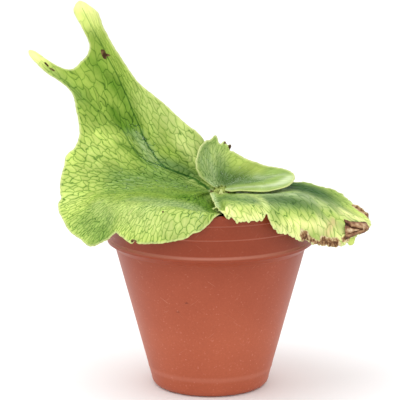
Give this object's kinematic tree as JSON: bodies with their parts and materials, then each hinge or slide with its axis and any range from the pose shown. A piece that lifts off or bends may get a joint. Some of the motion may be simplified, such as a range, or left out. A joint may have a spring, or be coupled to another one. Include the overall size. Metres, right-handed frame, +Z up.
{
  "type": "potted staghorn fern",
  "caption": "Young staghorn fern in a tapered plastic nursery pot: one tall forked frond leans back, a scooped one and a drooping one fan out over the rim.",
  "frame": {"origin": "centre of the pot's flat foot, where it rests on the surface", "axes": "+Z up along the pot's axis, -Y towards the viewer, +X to the viewer's right"},
  "size_m": [0.2522, 0.1585, 0.2821],
  "materials": {
    "pot": "terracotta-coloured moulded plastic, satin, faintly scuffed and dusty near the foot",
    "potting_medium": "dark bark chips and fibre with a little moss, matt and damp",
    "rhizome": "pale green bud in papery scales, matt",
    "frond_left": "light yellow-green leaf with a raised net of dark green veins, matt, with grey hairs near the middle",
    "frond_middle": "grey-green scooped leaf, finely furred, with pale edges",
    "frond_right": "yellow-green netted leaf with a grey-green furred top and a dry brown tip"
  },
  "bodies": {
    "root": {"pot": "pot", "potting_medium": "potting_medium", "rhizome": "rhizome", "frond_left": "frond_left", "frond_middle": "frond_middle", "frond_right": "frond_right"}
  },
  "joints": []
}
